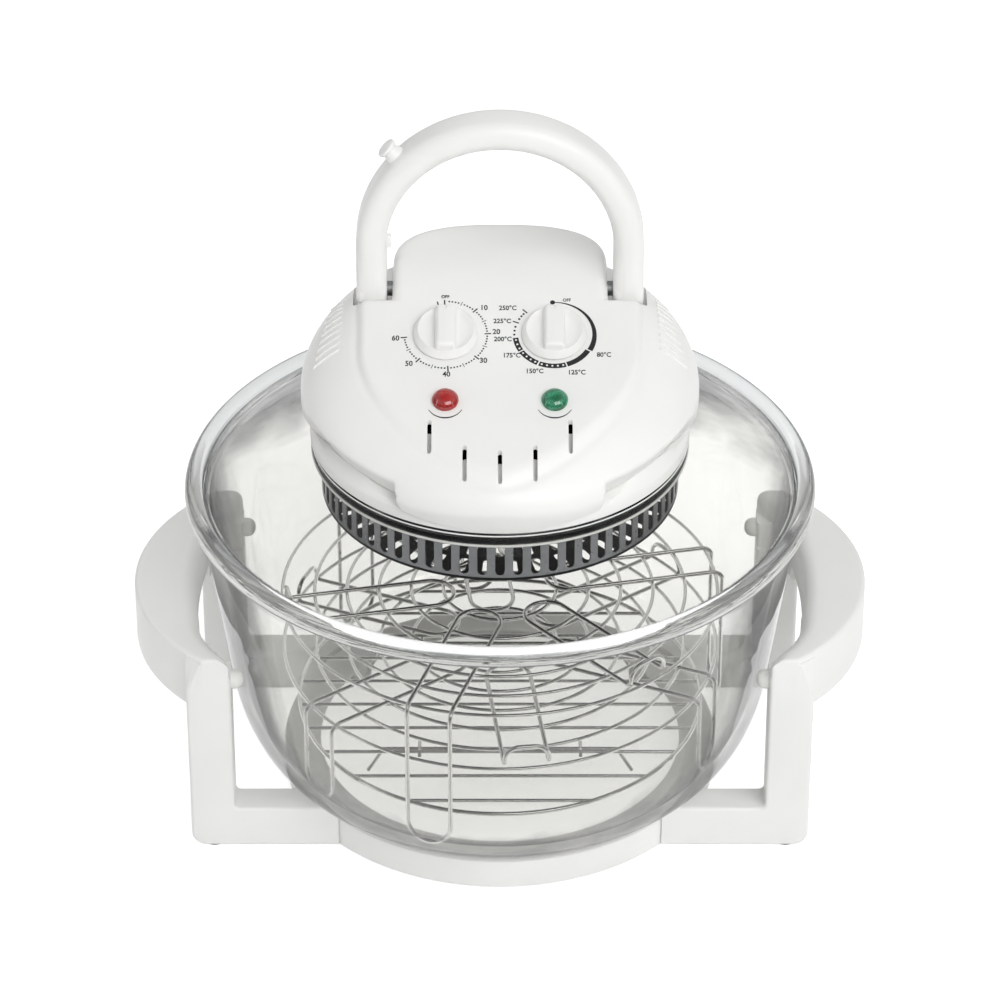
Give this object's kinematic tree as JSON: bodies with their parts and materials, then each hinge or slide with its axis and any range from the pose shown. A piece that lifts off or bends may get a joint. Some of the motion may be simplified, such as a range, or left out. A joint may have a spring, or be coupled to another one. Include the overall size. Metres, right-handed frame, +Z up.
{
  "type": "halogen oven",
  "caption": "Round glass bowl cooker in a white stand with side handles, wire racks inside, and a lift-off glass lid with a heating head, two dials and a folding safety handle.",
  "frame": {"origin": "on the worktop, under the centre of the bowl", "axes": "+Z up; the dials face -Y; the stand's handles are at -X and +X"},
  "size_m": [0.399, 0.34, 0.3932],
  "materials": {
    "white_plastic": "glossy moulded",
    "white_rubber": "matte",
    "grey_rubber": "matte",
    "screw_steel": "plated",
    "clear_glass": "clear pressed",
    "chromed_wire": "polished",
    "guard_steel": "pressed and plated",
    "polished_reflector": "polished",
    "quartz": "clear",
    "lamp_ceramic": "unglazed",
    "spring_steel": "plated",
    "insulation": "pressed fibre",
    "zinc_steel": "zinc plated",
    "core_steel": "stacked sheet",
    "copper_coil": "enamelled copper winding",
    "fan_aluminium": "pressed sheet",
    "ivory_plastic": "moulded",
    "red_plastic": "clear tinted",
    "green_plastic": "clear tinted",
    "neon_glass": "clear",
    "black_plastic": "moulded"
  },
  "bodies": {
    "stand": {"base_ring": "white_plastic", "side_frame_left": "white_plastic", "side_frame_right": "white_plastic", "handle_left": "white_plastic", "handle_right": "white_plastic", "bumper_nubs": "white_rubber", "rubber_feet": "grey_rubber", "frame_screws": "screw_steel"},
    "bowl": {"glass_bowl": "clear_glass"},
    "bottom_grid": {"bottom_grid": "chromed_wire"},
    "low_rack": {"low_rack": "chromed_wire"},
    "high_rack": {"high_rack": "chromed_wire"},
    "lid": {"glass_lid": "clear_glass", "lid_gaskets": "grey_rubber", "guard_ring": "guard_steel", "guard_grille": "guard_steel", "reflector_plate": "polished_reflector", "halogen_tube": "quartz", "lamp_end_caps": "lamp_ceramic", "lamp_clips": "spring_steel", "insulation_pad": "insulation", "spacers": "screw_steel", "mounting_plate": "zinc_steel", "plate_screws": "screw_steel", "skirt": "white_plastic", "upper_housing": "white_plastic", "housing_screws": "screw_steel", "cord_bush": "grey_rubber", "motor_frame": "zinc_steel", "motor_core": "core_steel", "motor_coil": "copper_coil", "motor_bracket": "zinc_steel", "terminal_block": "ivory_plastic", "timer_unit": "zinc_steel", "thermostat_unit": "lamp_ceramic", "red_lens": "red_plastic", "green_lens": "green_plastic", "neon_lamps": "neon_glass", "microswitch": "black_plastic"},
    "rotor": {"rotor": "screw_steel", "circulation_fan": "fan_aluminium", "fan_nut": "screw_steel", "cooling_fan": "fan_aluminium"},
    "timer_dial": {"timer_shaft": "screw_steel", "timer_knob": "white_plastic"},
    "temperature_dial": {"thermostat_shaft": "screw_steel", "temperature_knob": "white_plastic"},
    "carry_handle": {"carry_handle": "white_plastic", "pivot_pins": "screw_steel", "switch_cam": "ivory_plastic"},
    "switch_plunger": {"switch_plunger": "red_plastic"}
  },
  "joints": [
    {"name": "bowl_lift", "type": "slide", "parent": "stand", "child": "bowl", "axis": [0, 0, 1], "range_m": [0, 0.25]},
    {"name": "bottom_grid_lift", "type": "slide", "parent": "bowl", "child": "bottom_grid", "axis": [0, 0, 1], "range_m": [0, 0.012]},
    {"name": "low_rack_lift", "type": "slide", "parent": "bowl", "child": "low_rack", "axis": [0, 0, 1], "range_m": [0, 0.012]},
    {"name": "high_rack_lift", "type": "slide", "parent": "bowl", "child": "high_rack", "axis": [0, 0, 1], "range_m": [0, 0.03]},
    {"name": "lid_lift", "type": "slide", "parent": "bowl", "child": "lid", "axis": [0, 0, 1], "range_m": [0, 0.25]},
    {"name": "fan_spin", "type": "hinge", "parent": "lid", "child": "rotor", "pos_m": [0, 0, 0.2], "axis": [0, 0, 1], "continuous": true},
    {"name": "timer_turn", "type": "hinge", "parent": "lid", "child": "timer_dial", "pos_m": [-0.0285, -0.00998, 0.28333], "axis": [0, 0.3746, -0.9272], "range_deg": [0, 270]},
    {"name": "temperature_turn", "type": "hinge", "parent": "lid", "child": "temperature_dial", "pos_m": [0.0285, -0.00998, 0.28333], "axis": [0, 0.3746, -0.9272], "range_deg": [0, 300]},
    {"name": "handle_fold", "type": "hinge", "parent": "lid", "child": "carry_handle", "pos_m": [0, 0.028, 0.289], "axis": [-1, 0, 0], "range_deg": [0, 88]},
    {"name": "switch_press", "type": "slide", "parent": "lid", "child": "switch_plunger", "axis": [0, 0, -1], "range_m": [0, 0.0017]}
  ],
  "couplings": [
    {"joint": "switch_press", "follows": "handle_fold", "m_per_rad": 0.000977}
  ]
}
